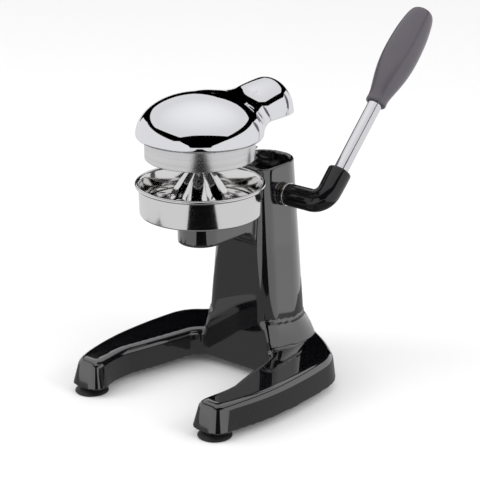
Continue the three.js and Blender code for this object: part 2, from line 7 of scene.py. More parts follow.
import bpy
import numpy as np
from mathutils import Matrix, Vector


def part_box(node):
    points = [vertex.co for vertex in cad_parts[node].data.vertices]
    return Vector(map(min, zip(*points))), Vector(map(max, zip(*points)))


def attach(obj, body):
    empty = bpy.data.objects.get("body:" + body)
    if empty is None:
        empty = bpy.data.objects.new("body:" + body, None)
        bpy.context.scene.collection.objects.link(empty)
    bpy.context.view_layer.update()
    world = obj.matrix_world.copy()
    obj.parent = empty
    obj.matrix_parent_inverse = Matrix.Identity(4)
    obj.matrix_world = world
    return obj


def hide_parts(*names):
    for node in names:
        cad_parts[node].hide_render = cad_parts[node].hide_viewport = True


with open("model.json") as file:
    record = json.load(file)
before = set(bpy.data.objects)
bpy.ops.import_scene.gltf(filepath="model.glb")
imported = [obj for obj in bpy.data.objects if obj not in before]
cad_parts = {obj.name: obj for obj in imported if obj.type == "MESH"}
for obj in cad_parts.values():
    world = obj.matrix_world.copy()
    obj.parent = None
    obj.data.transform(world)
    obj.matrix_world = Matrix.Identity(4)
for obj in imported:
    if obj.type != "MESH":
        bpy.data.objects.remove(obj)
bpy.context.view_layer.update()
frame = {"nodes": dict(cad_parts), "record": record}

# ---------------------------------------------------------------- places read from the frame
MM = 1000.0


def box_mm(node):
    low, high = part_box(node)
    return np.array(low) * MM, np.array(high) * MM


bowl_low, bowl_high = box_mm("juice_bowl")
casting_low, casting_high = box_mm("frame_casting")
cover_low, cover_high = box_mm("head_cover")
bell_low, bell_high = box_mm("press_bell")
elbow_low = box_mm("lever_elbow")[0]
SHIFT_Y = (bowl_low[1] + bowl_high[1]) / 2

lever_joint = next(j for j in frame["record"]["behaviour"]["joints"] if j["name"] == "lever_turn")
AXIS_Y = lever_joint["pos_m"][1] * MM - SHIFT_Y
AXIS_Z = lever_joint["pos_m"][2] * MM
LEVER_LEAN = math.radians(45)

# ---------------------------------------------------------------- driving dimensions (mm)
BASE_BOTTOM = casting_low[2]
BASE_TOP = 36.6
BASE_EDGE_RADIUS = 6.5
BASE_FRONT = -91.5
BASE_REAR = 150.0
BAY_REAR = 53.6
SIDE_LEAN = 0.13  # inward for each mm of height
TIP_LEAN = 0.26  # the same at the legs' front ends
SIDE_INSET = 2.2

COLUMN_TOP = casting_high[2]
COLUMN_HALF_AT_FLOOR = 48.5
COLUMN_TAPER = 0.079
COLUMN_FRONT_Y = 53.2
COLUMN_FRONT_LEAN = 0.041
COLUMN_REAR_Y = 96.2
COLUMN_REAR_LEAN = 0.015
FLAT_HALF_AT_FLOOR = 31.0  # the flat part of the column's front face
FLAT_TAPER = 0.055
WALL = 5.0
GUIDE_FACE_Y = 70.0
CAVITY_FLOOR = 60.0
SHAFT_BORE = 9.0

FOOT_BEND_Z = 55.5  # where the column starts to flare, behind; higher in front
FOOT_BEND_RISE = 7.0
FOOT_SLANT = 0.75  # outward for each mm down, behind
FOOT_FRONT_SLANT = 0.14
FOOT_HALF = 57.0

BOSS_RADIUS = 23.0
BOSS_BOTTOM = 160.5
BOSS_BORE = 15.0
BOSS_BORE_END = 150.0
ARM_UNDER_Y = 57.5
ARM_UNDER_RADIUS = 16.0
ARM_REAR_Y = 67.0
ARM_LOWEST = 146.0
BOWL_SEAT = 190.7
BOWL_RADIUS = 61.4
BOWL_RIM_RADIUS = 65.0
BOWL_RIM_Z = bowl_high[2]
BOWL_SHEET = 1.0
RIM_CURL_RADIUS = 1.9
SPOUT_RADIUS = 13.0

STRAINER_EDGE_Z = 200.2
STRAINER_PLATEAU_Z = 203.6
STRAINER_SKIRT_Z = 193.4
STRAINER_LIP = 5.2
STRAINER_CELLS = 216
SLOT_PITCH = 12  # cells from one slot to the next

REAMER_SEAT = 203.9
REAMER_HEIGHT = 40.0
REAMER_RIBS = 10
GROOVE_DEPTH = 0.17  # share of the radius

DOME_RADIUS = 63.3
DOME_EQUATOR = 272.5
DOME_APEX = cover_high[2]
DOME_LIP_Z = cover_low[2]
DOME_LIP_INNER = 56.0
NECK_HALF = 29.5
NECK_FLARE = 1.5  # more at the neck's lower edge
NECK_DRAFT = 0.15
NECK_REAR_Y = 99.0
NECK_BOTTOM = 274.0
NECK_EDGE_RADIUS = 26.0
NECK_JOIN_RADIUS = 18.0
CREST_START_Y = 40.0
CREST_START_Z = 300.6
CREST_LENGTH = 70.0
CREST_RISE = 9.0
CREST_CROWN = 0.004
COVER_WALL = 3.0
POST_RADIUS = 8.0
POST_HOLE = 2.6
POST_HOLE_TOP = 306.0
RIB_Y = 66.8
RIB_HALF_THICKNESS = 3.3
RIB_HALF_WIDTH = 13.0
RIB_BOTTOM = 276.0
RIB_TOP = 301.8

BELL_RADIUS = 54.8
BELL_RIM_Z = bell_low[2]
BELL_TOP = bell_high[2]
BELL_SHEET = 2.0

ROD_X = 82.0
ROD_RADIUS = 7.5
ROD_START = 26.0
ROD_WALL = 1.5
ELBOW_BEND = 15.0
ELBOW_RADIUS = 11.6
ELBOW_GROWTH = 0.9  # thicker towards the socket
SOCKET_END = 38.5
GRIP_START = 120.5
GRIP_END = 238.0
ROD_END = GRIP_END - 40.0
WASHER_COLLAR = 1.8


# ---------------------------------------------------------------- mesh helpers
def to_row(points):
    """Millimetres about the bowl's axis to metres in the row frame."""
    moved = np.array(points, dtype=float)
    moved[:, 1] += SHIFT_Y
    return moved / MM


def lever_to_press(points):
    """From the lever's own frame (X along its axis, Z along the rod) to the press."""
    p = np.array(points, dtype=float)
    c = math.cos(LEVER_LEAN)
    s = math.sin(LEVER_LEAN)
    y = p[:, 1] * c + p[:, 2] * s + AXIS_Y
    z = -p[:, 1] * s + p[:, 2] * c + AXIS_Z
    return np.stack([p[:, 0], y, z], axis=1)


def make_object(name, verts, faces, body, material, replaced):
    """A piece that rides on a body and stands in for CAD nodes."""
    mesh = bpy.data.meshes.new(name)
    mesh.from_pydata([tuple(v) for v in verts], [], [tuple(f) for f in faces])
    mesh.validate()
    mesh.update()
    mesh.polygons.foreach_set("use_smooth", [True] * len(mesh.polygons))
    obj = bpy.data.objects.new(name, mesh)
    bpy.context.scene.collection.objects.link(obj)
    mesh.materials.append(material)
    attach(obj, body)
    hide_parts(*replaced)
    return obj


def keep_edges(obj, degrees=35):
    """Smooth shading that breaks only at edges sharper than an angle."""
    mesh = obj.data
    mesh.polygons.foreach_set("use_smooth", [True] * len(mesh.polygons))
    mesh.set_sharp_from_angle(angle=math.radians(degrees))


def add_bevel(obj, width_mm, degrees=30, segments=2):
    bevel = obj.modifiers.new("edge", "BEVEL")
    bevel.width = width_mm / MM
    bevel.segments = segments
    bevel.limit_method = "ANGLE"
    bevel.angle_limit = math.radians(degrees)
    bevel.harden_normals = False


def rounded(profile, radii, steps=5):
    """A [radius, height] profile with its corners rounded, as a list of points."""
    points = [np.array(p, dtype=float) for p in profile]
    out = []
    for i, point in enumerate(points):
        radius = radii.get(i, 0)
        if radius <= 0 or i in (0, len(points) - 1):
            out.append(point)
            continue
        to_last = points[i - 1] - point
        to_next = points[i + 1] - point
        reach = min(radius, np.linalg.norm(to_last) * 0.48, np.linalg.norm(to_next) * 0.48)
        start = point + to_last / np.linalg.norm(to_last) * reach
        end = point + to_next / np.linalg.norm(to_next) * reach
        for k in range(steps + 1):
            t = k / steps
            out.append((1 - t) ** 2 * start + 2 * t * (1 - t) * point + t * t * end)
    return out


def smooth_curve(points, per_span=8):
    """A smooth curve through every point."""
    p = [np.array(q, dtype=float) for q in points]
    p = [2 * p[0] - p[1], *p, 2 * p[-1] - p[-2]]
    out = []
    for i in range(1, len(p) - 2):
        for k in range(per_span):
            t = k / per_span
            a, b, c, d = p[i - 1], p[i], p[i + 1], p[i + 2]
            out.append(
                0.5 * (2 * b + (c - a) * t + (2 * a - 5 * b + 4 * c - d) * t * t
                       + (3 * b - a - 3 * c + d) * t ** 3)
            )
    out.append(p[-2])
    return out


def turned(profile, segments):
    """Vertices and faces of a closed profile turned round Z. A point on the axis becomes one vertex."""
    verts = []
    rings = []
    for radius, height in profile:
        if radius < 1e-6:
            rings.append([len(verts)])
            verts.append((0.0, 0.0, height))
            continue
        rings.append(list(range(len(verts), len(verts) + segments)))
        for k in range(segments):
            angle = 2 * math.pi * k / segments
            verts.append((radius * math.cos(angle), radius * math.sin(angle), height))
    rings.append(rings[0])
    faces = []
    for lower, upper in zip(rings[:-1], rings[1:]):
        for k in range(segments):
            n = (k + 1) % segments
            if len(lower) == 1 and len(upper) == 1:
                break
            if len(lower) == 1:
                faces.append((lower[0], upper[n], upper[k]))
            elif len(upper) == 1:
                faces.append((lower[k], lower[n], upper[0]))
            else:
                faces.append((lower[k], lower[n], upper[n], upper[k]))
    return np.array(verts), faces


def turn_to_shaft(verts):
    """From a turning about Z to one about the lever's shaft, heights along +X."""
    lying = np.stack([verts[:, 2], verts[:, 1], -verts[:, 0]], axis=1)
    return lying + np.array([0, AXIS_Y, AXIS_Z])


def circle(radius, height, count):
    """Points on a level circle about Z."""
    angles = [2 * math.pi * k / count for k in range(count)]
    return [(radius * math.cos(a), radius * math.sin(a), height) for a in angles]


# ---------------------------------------------------------------- implicit surfaces
def round_join(a, b, r):
    """Union of two distances with a fillet of radius r."""
    u = np.maximum(r - a, 0)
    v = np.maximum(r - b, 0)
    return np.maximum(r, np.minimum(a, b)) - np.hypot(u, v)


def round_cut(a, b, r):
    """Intersection of two distances with an edge rounded to radius r."""
    u = np.maximum(r + a, 0)
    v = np.maximum(r + b, 0)
    return np.minimum(-r, np.maximum(a, b)) + np.hypot(u, v)


def smooth_step(x, low, high):
    t = np.clip((x - low) / (high - low), 0, 1)
    return t * t * (3 - 2 * t)


class PlanField:
    """Distance to a closed outline in the XY plane, kept on a grid and read with a cubic B-spline."""

    def __init__(self, outline, margin=30.0, step=1.0):
        outline = np.array(outline)
        self.step = step
        self.low = outline.min(axis=0) - margin
        size = outline.max(axis=0) + margin - self.low
        count = np.ceil(size / step).astype(int) + 1
        xs = self.low[0] + step * np.arange(count[0])
        ys = self.low[1] + step * np.arange(count[1])
        gx, gy = np.meshgrid(xs, ys, indexing="ij")
        values = signed_distance(gx.ravel(), gy.ravel(), outline).reshape(gx.shape)
        for _ in range(6):
            padded = np.pad(values, 1, mode="edge")
            values = (padded[:-2, 1:-1] + 2 * padded[1:-1, 1:-1] + padded[2:, 1:-1]) / 4
            padded = np.pad(values, 1, mode="edge")
            values = (padded[1:-1, :-2] + 2 * padded[1:-1, 1:-1] + padded[1:-1, 2:]) / 4
        self.values = values

    def __call__(self, x, y):
        x, y = np.broadcast_arrays(x, y)
        u = np.clip((x - self.low[0]) / self.step, 1, self.values.shape[0] - 3.001)
        v = np.clip((y - self.low[1]) / self.step, 1, self.values.shape[1] - 3.001)
        i = np.floor(u).astype(int)
        j = np.floor(v).astype(int)
        wu = spline_weights(u - i)
        wv = spline_weights(v - j)
        total = np.zeros(x.shape)
        for a in range(4):
            for b in range(4):
                total += wu[a] * wv[b] * self.values[i + a - 1, j + b - 1]
        return total


def spline_weights(t):
    return (
        (1 - t) ** 3 / 6,
        (3 * t ** 3 - 6 * t * t + 4) / 6,
        (-3 * t ** 3 + 3 * t * t + 3 * t + 1) / 6,
        t ** 3 / 6,
    )


def signed_distance(x, y, outline):
    """Distance to a polygon, negative inside."""
    best = np.full(x.shape, 1e9)
    inside = np.zeros(x.shape, dtype=bool)
    count = len(outline)
    for k in range(count):
        ax, ay = outline[k]
        bx, by = outline[(k + 1) % count]
        ex, ey = bx - ax, by - ay
        length = ex * ex + ey * ey
        if length == 0:
            continue
        t = np.clip(((x - ax) * ex + (y - ay) * ey) / length, 0, 1)
        best = np.minimum(best, (x - ax - t * ex) ** 2 + (y - ay - t * ey) ** 2)
        if ay != by:
            crosses = ((ay > y) != (by > y)) & (x < ax + (y - ay) * ex / (by - ay))
            inside ^= crosses
    return np.where(inside, -1, 1) * np.sqrt(best)


def gradient(field, p, h=0.12):
    columns = []
    for axis in range(3):
        step = np.zeros(3)
        step[axis] = h
        forward = field(*(p + step).T)
        back = field(*(p - step).T)
        columns.append((forward - back) / (2 * h))
    return np.stack(columns, axis=1)


def surface_of(field, low, high, step):
    """A quad mesh of field = 0 (surface nets), its vertices then moved onto the surface itself."""
    counts = [int(math.ceil((b - a) / step)) + 1 for a, b in zip(low, high)]
    axes = [a + step * np.arange(n) for a, n in zip(low, counts)]
    gx = axes[0][:, None, None]
    gy = axes[1][None, :, None]
    gz = axes[2][None, None, :]
    values = np.broadcast_to(field(gx, gy, gz), counts).astype(np.float32)
    inside = values < 0

    cells = tuple(n - 1 for n in counts)
    total = np.zeros(cells + (3,), dtype=np.float32)
    hits = np.zeros(cells, dtype=np.int16)
    corner = [(i, j, k) for i in (0, 1) for j in (0, 1) for k in (0, 1)]
    for a in corner:
        for axis in range(3):
            if a[axis]:
                continue
            b = tuple(1 if m == axis else a[m] for m in range(3))
            sa = tuple(slice(o, o + n) for o, n in zip(a, cells))
            sb = tuple(slice(o, o + n) for o, n in zip(b, cells))
            va, vb = values[sa], values[sb]
            cross = inside[sa] != inside[sb]
            t = np.where(cross, va / np.where(cross, va - vb, 1), 0)
            for m in range(3):
                total[..., m] += np.where(cross, a[m] + (t if m == axis else 0), 0)
            hits += cross
    used = hits > 0
    index = np.full(cells, -1, dtype=np.int64)
    index[used] = np.arange(used.sum())
    where = np.argwhere(used)
    verts = np.array(low) + step * (where + total[used] / hits[used][:, None])

    faces = []
    for axis in range(3):
        u, v = (axis + 1) % 3, (axis + 2) % 3
        first = [slice(1, n - 1) for n in counts]
        second = list(first)
        first[axis] = slice(0, counts[axis] - 1)
        second[axis] = slice(1, counts[axis])
        change = inside[tuple(first)] != inside[tuple(second)]
        enters = inside[tuple(first)][change]
        base = np.argwhere(change)
        base[:, u] += 1
        base[:, v] += 1
        quad = []
        for du, dv in ((-1, -1), (0, -1), (0, 0), (-1, 0)):
            cell = base.copy()
            cell[:, u] += du
            cell[:, v] += dv
            quad.append(index[cell[:, 0], cell[:, 1], cell[:, 2]])
        quad = np.stack(quad, axis=1)
        quad[~enters] = quad[~enters][:, ::-1]
        faces.append(quad)
    faces = np.concatenate(faces)

    for _ in range(4):
        d = field(*verts.T)
        g = gradient(field, verts)
        move = -(d / np.maximum((g * g).sum(axis=1), 0.2))[:, None] * g
        verts = verts + np.clip(move, -step * 0.6, step * 0.6)
    g = gradient(field, verts)
    normals = g / np.maximum(np.linalg.norm(g, axis=1), 1e-6)[:, None]
    return verts, faces, normals


# ---------------------------------------------------------------- materials
def new_material(name):
    material = bpy.data.materials.new(name)
    material.use_nodes = True
    tree = material.node_tree
    shader = tree.nodes["Principled BSDF"]
    return material, tree, shader


def object_point(tree, scale=(1, 1, 1)):
    coordinate = tree.nodes.new("ShaderNodeTexCoord")
    mapping = tree.nodes.new("ShaderNodeMapping")
    mapping.inputs["Scale"].default_value = scale
    tree.links.new(coordinate.outputs["Object"], mapping.inputs["Vector"])
    return mapping.outputs["Vector"]


def noise(tree, vector, scale, detail=3.0, roughness=0.5):
    node = tree.nodes.new("ShaderNodeTexNoise")
    node.inputs["Scale"].default_value = scale
    node.inputs["Detail"].default_value = detail
    node.inputs["Roughness"].default_value = roughness
    tree.links.new(vector, node.inputs["Vector"])
    return node.outputs["Fac"]


def bump(tree, shader, height, strength, distance):
    node = tree.nodes.new("ShaderNodeBump")
    node.inputs["Strength"].default_value = strength
    node.inputs["Distance"].default_value = distance
    tree.links.new(height, node.inputs["Height"])
    tree.links.new(node.outputs["Normal"], shader.inputs["Normal"])


def vary(tree, value, low, high, socket):
    """Maps the middle of a 0 to 1 value onto a range and into a socket."""
    node = tree.nodes.new("ShaderNodeMapRange")
    node.inputs["From Min"].default_value = 0.3
    node.inputs["From Max"].default_value = 0.7
    node.inputs["To Min"].default_value = low
    node.inputs["To Max"].default_value = high
    tree.links.new(value, node.inputs["Value"])
    tree.links.new(node.outputs["Result"], socket)


def tint(tree, shader, value, dark, light):
    """Lets a 0 to 1 value move the base colour between two shades."""
    node = tree.nodes.new("ShaderNodeMix")
    node.data_type = "RGBA"
    node.inputs["A"].default_value = (*dark, 1)
    node.inputs["B"].default_value = (*light, 1)
    tree.links.new(value, node.inputs["Factor"])
    tree.links.new(node.outputs["Result"], shader.inputs["Base Color"])


def gloss_black():
    """Thick gloss black enamel over a casting: deep, wet, with a faint long ripple."""
    material, tree, shader = new_material("gloss_black_enamel")
    point = object_point(tree)
    tint(tree, shader, noise(tree, point, 14), (0.0035, 0.0035, 0.0042), (0.006, 0.006, 0.007))
    vary(tree, noise(tree, point, 60), 0.035, 0.075, shader.inputs["Roughness"])
    shader.inputs["IOR"].default_value = 1.7
    shader.inputs["Coat Weight"].default_value = 1.0
    shader.inputs["Coat Roughness"].default_value = 0.03
    shader.inputs["Coat IOR"].default_value = 1.8
    bump(tree, shader, noise(tree, point, 45, 1.0), 0.05, 0.0006)
    return material


def shaded_elbow_black():
    """The casting's gloss black made darker and less reflective, with no coat, for the elbow and the bearing
    cap: painted shade.
    """
    material, tree, shader = new_material("shaded_elbow_enamel")
    point = object_point(tree)
    tint(tree, shader, noise(tree, point, 20), (0.003, 0.003, 0.0036), (0.005, 0.005, 0.006))
    vary(tree, noise(tree, point, 80), 0.05, 0.09, shader.inputs["Roughness"])
    shader.inputs["IOR"].default_value = 1.55
    bump(tree, shader, noise(tree, point, 70, 1.0), 0.05, 0.0005)
    return material


def mirror_chrome():
    """Bright chrome plate, polished before plating."""
    material, tree, shader = new_material("mirror_chrome")
    point = object_point(tree)
    shader.inputs["Base Color"].default_value = (0.86, 0.865, 0.885, 1)
    shader.inputs["Metallic"].default_value = 1.0
    vary(tree, noise(tree, point, 90), 0.02, 0.055, shader.inputs["Roughness"])
    return material


def polished_steel():
    """Buffed stainless sheet, with very fine marks that run round the bowl."""
    material, tree, shader = new_material("polished_stainless")
    marks = noise(tree, object_point(tree, (4, 4, 900)), 3.0, 4.0)
    shader.inputs["Base Color"].default_value = (0.80, 0.79, 0.78, 1)
    shader.inputs["Metallic"].default_value = 1.0
    vary(tree, marks, 0.06, 0.12, shader.inputs["Roughness"])
    bump(tree, shader, marks, 0.05, 0.00003)
    return material


def brushed_steel():
    """Turned and brushed steel: fine lines round the bell's axis, in bands of varied sheen."""
    material, tree, shader = new_material("brushed_bell_steel")
    lines = noise(tree, object_point(tree, (6, 6, 1400)), 2.0, 6.0, 0.7)
    bands = noise(tree, object_point(tree, (1, 1, 160)), 2.2, 2.0)
    tint(tree, shader, bands, (0.60, 0.60, 0.605), (0.82, 0.82, 0.82))
    shader.inputs["Metallic"].default_value = 1.0
    vary(tree, lines, 0.17, 0.28, shader.inputs["Roughness"])
    bump(tree, shader, lines, 0.22, 0.00005)
    return material


def rod_chrome():
    """Ground and chromed bar with faint lines across it."""
    material, tree, shader = new_material("chromed_rod")
    lines = noise(tree, object_point(tree, (5, 500, 500)), 2.0, 3.0)
    shader.inputs["Base Color"].default_value = (0.80, 0.80, 0.82, 1)
    shader.inputs["Metallic"].default_value = 1.0
    vary(tree, lines, 0.07, 0.13, shader.inputs["Roughness"])
    return material


def cut_steel():
    """Milled steel of the rack, gears and screws."""
    material, tree, shader = new_material("cut_steel")
    point = object_point(tree, (300, 300, 40))
    tint(tree, shader, noise(tree, point, 3.0), (0.34, 0.34, 0.35), (0.52, 0.52, 0.53))
    shader.inputs["Metallic"].default_value = 1.0
    vary(tree, noise(tree, point, 6.0), 0.28, 0.45, shader.inputs["Roughness"])
    return material


def grip_plastic():
    """Anthracite moulded plastic with a fine satin skin."""
    material, tree, shader = new_material("anthracite_grip")
    point = object_point(tree)
    tint(tree, shader, noise(tree, point, 25), (0.078, 0.070, 0.084), (0.098, 0.088, 0.104))
    vary(tree, noise(tree, point, 700, 2.0), 0.20, 0.27, shader.inputs["Roughness"])
    shader.inputs["IOR"].default_value = 1.5
    bump(tree, shader, noise(tree, point, 2200, 2.0), 0.12, 0.0001)
    return material


def rubber():
    """Matt black rubber of the feet."""
    material, tree, shader = new_material("black_rubber")
    point = object_point(tree)
    tint(tree, shader, noise(tree, point, 60), (0.006, 0.006, 0.007), (0.014, 0.014, 0.015))
    vary(tree, noise(tree, point, 900, 2.0), 0.38, 0.55, shader.inputs["Roughness"])
    bump(tree, shader, noise(tree, point, 1500, 2.0), 0.15, 0.0001)
    return material


def bronze():
    """Porous bronze of the shaft's bushes."""
    material, tree, shader = new_material("sintered_bronze")
    point = object_point(tree)
    tint(tree, shader, noise(tree, point, 1200), (0.42, 0.25, 0.11), (0.58, 0.38, 0.19))
    shader.inputs["Metallic"].default_value = 1.0
    vary(tree, noise(tree, point, 800), 0.32, 0.45, shader.inputs["Roughness"])
    return material


def guide_plastic():
    """Off-white acetal of the rack's guides."""
    material, tree, shader = new_material("guide_acetal")
    point = object_point(tree)
    tint(tree, shader, noise(tree, point, 200), (0.62, 0.60, 0.55), (0.70, 0.68, 0.63))
    vary(tree, noise(tree, point, 600), 0.38, 0.5, shader.inputs["Roughness"])
    return material


looks = {
    "black_paint": gloss_black(),
    # the elbow's black is a darker, less reflective copy of the casting's gloss black: painted shade
    "black_paint_elbow": shaded_elbow_black(),
    "polished_steel": polished_steel(),
    "brushed_bell": brushed_steel(),
    "chrome": mirror_chrome(),
    "rod": rod_chrome(),
    "tooth_steel": cut_steel(),
    "rubber": rubber(),
    "grip_plastic": grip_plastic(),
    "bronze": bronze(),
    "guide_plastic": guide_plastic(),
}


# ---------------------------------------------------------------- the black casting
def quadratic(start, control, end, steps=14):
    """Points of a quadratic bend, without its end point."""
    s, c, e = (np.array(q, dtype=float) for q in (start, control, end))
    out = []
    for k in range(steps):
        t = k / steps
        out.append((1 - t) ** 2 * s + 2 * t * (1 - t) * c + t * t * e)
    return out


def horseshoe():
    """The base's outline at the floor: right half from the bay's middle to the rear, then its mirror."""
    bends = [
        ((0, BAY_REAR), (17, BAY_REAR), (34, BAY_REAR)),
        ((34, BAY_REAR), (44, BAY_REAR), (49, 42)),
        ((49, 42), (57, -4), (65, -34)),
        ((65, -34), (66.5, -52), (61, -75)),
        ((61, -75), (61, BASE_FRONT), (73, BASE_FRONT)),
        ((73, BASE_FRONT), (81, BASE_FRONT), (89, BASE_FRONT)),
        ((89, BASE_FRONT), (99.5, BASE_FRONT), (103.2, -78)),
        ((103.2, -78), (116.4, -35.5), (116.4, 8)),
        ((116.4, 8), (116.4, 42), (112.5, 72)),
        ((112.5, 72), (109, 94), (92, 106)),
        ((92, 106), (68, 128), (40, 141)),
        ((40, 141), (20, BASE_REAR), (0, BASE_REAR)),
    ]
    right = [point for bend in bends for point in quadratic(*bend)]
    right.append(np.array([0.0, BASE_REAR]))
    left = [np.array([-x, y]) for x, y in reversed(right[1:-1])]
    return right + left


def column_front(z):
    """Where the column's front face stands at a height."""
    return COLUMN_FRONT_Y + COLUMN_FRONT_LEAN * z


def column_half(z):
    """Half the column's width at a height."""
    return COLUMN_HALF_AT_FLOOR - COLUMN_TAPER * z


def column_reach(x, y, z):
    """Distance from the column's middle plane, and from its rear axis behind that."""
    rear = COLUMN_REAR_Y + COLUMN_REAR_LEAN * z
    return np.hypot(x, np.maximum(y - rear, 0))


def column_outside(x, y, z):
    """The D-shaped column and its flared foot, which share one front face."""
    half = column_half(z)
    reach = column_reach(x, y, z)
    behind = smooth_step(y, 50, 98)
    bend_z = FOOT_BEND_Z + FOOT_BEND_RISE * (1 - behind)
    spread = FOOT_FRONT_SLANT + (FOOT_SLANT - FOOT_FRONT_SLANT) * behind
    drop = np.maximum(bend_z - z, 0)
    slant = (reach - (column_half(bend_z) + spread * drop)) / np.sqrt(1 + spread ** 2)
    upright = reach - (FOOT_HALF + 0.12 * (BASE_TOP - z))
    foot = np.maximum(round_cut(slant, upright, 1.8), z - bend_z - 3)
    side = round_join(reach - half, foot, 2.0)
    flat_half = FLAT_HALF_AT_FLOOR - FLAT_TAPER * z
    corner = np.maximum(half - flat_half, 8) - 0.3 * np.minimum(drop, 20)
    return round_cut(side, column_front(z) - y, corner)


def column_inside(x, y, z):
    """The hollow that the rack runs in."""
    return round_cut(column_reach(x, y, z) - (column_half(z) - WALL), GUIDE_FACE_Y - y, 6.0)


def base_and_column(plan, x, y, z):
    """The horseshoe with the column and its foot on it, all solid."""
    at_tip = smooth_step(-y, 62, 84)
    lean = SIDE_LEAN + (TIP_LEAN - SIDE_LEAN) * at_tip
    inward = SIDE_INSET * (1 - at_tip)
    edge = (plan(x, y) + inward + np.maximum(z - BASE_BOTTOM, 0) * lean) * 0.985
    base = round_cut(edge, z - BASE_TOP, BASE_EDGE_RADIUS)
    column = round_cut(column_outside(x, y, z), z - COLUMN_TOP, 1.2)
    inside_rear_edge = (plan(x, y) + 0.22 * (BASE_TOP - BASE_BOTTOM)) * 0.976 + 4
    column = np.maximum(column, np.where(y > 75, inside_rear_edge, -50.0))
    return round_join(base, column, 3.0)


def bowl_arm(x, y, z):
    """The round boss under the bowl and the arm that holds it."""
    boss = np.hypot(x, np.minimum(y, 0)) - BOSS_RADIUS
    under = round_join(BOSS_BOTTOM - z, ARM_UNDER_Y - y, ARM_UNDER_RADIUS)
    arm = round_cut(round_cut(boss, under, 2.2), z - BOWL_SEAT, 1.0)
    return np.maximum(arm, np.maximum(y - ARM_REAR_Y, ARM_LOWEST - z))


def build_casting():
    plan = PlanField(horseshoe())

    def field(x, y, z):
        body = round_join(base_and_column(plan, x, y, z), bowl_arm(x, y, z), 2.0)
        hollow = round_cut(column_inside(x, y, z), CAVITY_FLOOR - z, 4)
        body = round_cut(body, -hollow, 0.9)
        radius = np.hypot(x, y)
        relief = np.maximum(radius - (BOWL_RIM_RADIUS + 1), BOWL_SEAT - z)
        body = round_cut(body, -relief, 0.6)
        bore = np.maximum(radius - BOSS_BORE, BOSS_BORE_END - z)
        body = round_cut(body, -bore, 0.8)
        shaft = np.hypot(y - AXIS_Y, z - AXIS_Z) - SHAFT_BORE
        body = np.maximum(body, -shaft)
        return round_cut(body, BASE_BOTTOM - z, 0.8)

    low = (-120, -95, 5)
    high = (120, 154, 228)
    step = 2.0
    verts, faces, normals = surface_of(field, low, high, step)
    obj = make_object(
        "casting", to_row(verts), faces, "stand", looks["black_paint"], ["frame_casting"]
    )
    obj.data.normals_split_custom_set_from_vertices([tuple(n) for n in normals])


# ---------------------------------------------------------------- press head
def neck_side(x, y, thinner):
    """Distance to the neck's upright side, round at the rear."""
    return np.hypot(x, np.maximum(y - NECK_REAR_Y, 0)) - (NECK_HALF - thinner)


def dome_and_neck(x, y, z, thinner, bottom):
    """Dome and neck as one solid, thinner by a distance all over, with or without its lower edges."""
    up = np.maximum(z - DOME_EQUATOR, 0)
    a = DOME_RADIUS - thinner
    b = DOME_APEX - DOME_EQUATOR - thinner
    k0 = np.sqrt((x * x + y * y) / a ** 2 + up ** 2 / b ** 2)
    k1 = np.sqrt((x * x + y * y) / a ** 4 + up ** 2 / b ** 4)
    dome = k0 * (k0 - 1) / np.maximum(k1, 1e-6)
    if bottom:
        dome = round_cut(dome, DOME_LIP_Z - z, 3.0)
    slope = neck_side(x, y, thinner) - NECK_FLARE + (z - NECK_BOTTOM) * NECK_DRAFT
    rise = CREST_RISE * np.sin(math.pi / 2 * np.clip((y - CREST_START_Y) / CREST_LENGTH, 0, 1))
    crest = CREST_START_Z + rise - CREST_CROWN * x * x - thinner
    neck = round_cut(slope, z - crest, NECK_EDGE_RADIUS)
    neck = round_cut(neck, 18 - y, 3)
    if bottom:
        neck = round_cut(neck, NECK_BOTTOM - z, 0.9)
    return round_join(dome, neck, NECK_JOIN_RADIUS)


def build_cover():
    def field(x, y, z):
        outer = dome_and_neck(x, y, z, 0.0, True)
        inner = dome_and_neck(x, y, z, COVER_WALL, False)
        radius = np.hypot(x, y)
        lip = np.maximum(DOME_LIP_INNER - radius, z - (DOME_LIP_Z + 2.0))
        rim = np.maximum(lip, radius - 61)
        rim = np.maximum(rim, -np.maximum(neck_side(x, y, COVER_WALL), 58 - y))
        inner = np.maximum(inner, -rim)
        body = round_cut(outer, -inner, 0.6)
        post = np.maximum(radius - POST_RADIUS, np.maximum(BELL_TOP + 0.3 - z, z - DOME_APEX + 2.4))
        rib = np.maximum(np.abs(x) - RIB_HALF_WIDTH, np.abs(y - RIB_Y) - RIB_HALF_THICKNESS)
        rib = np.maximum(rib, np.maximum(RIB_BOTTOM - z, z - RIB_TOP))
        body = round_join(body, np.minimum(post, rib), 1.5)
        return np.maximum(body, -np.maximum(radius - POST_HOLE, z - POST_HOLE_TOP))

    low = (-67, -67, 265)
    high = (67, 133, 316)
    step = 1.4
    verts, faces, normals = surface_of(field, low, high, step)
    obj = make_object("cover", to_row(verts), faces, "head", looks["chrome"], ["head_cover"])
    obj.data.normals_split_custom_set_from_vertices([tuple(n) for n in normals])


def build_bell():
    r = BELL_RADIUS
    t = BELL_TOP
    s = BELL_SHEET
    profile = rounded(
        [
            (r - s, 272), (r - s, BELL_RIM_Z), (r, BELL_RIM_Z), (r, 272), (51, 281), (40, 288.6), (26, 294),
            (12, t), (2.9, t), (2.9, t - s), (12, t - s), (25.4, 292), (38.8, 286.8), (49, 280), (r - s, 272),
        ],
        {1: 0.9, 2: 0.9, 3: 5, 4: 5, 5: 5, 6: 5, 11: 4, 12: 4, 13: 4},
    )
    verts, faces = turned(profile[:-1], 160)
    steel = looks["brushed_bell"]
    obj = make_object("bell", to_row(verts), faces, "head", steel, ["press_bell"])
    keep_edges(obj, 50)


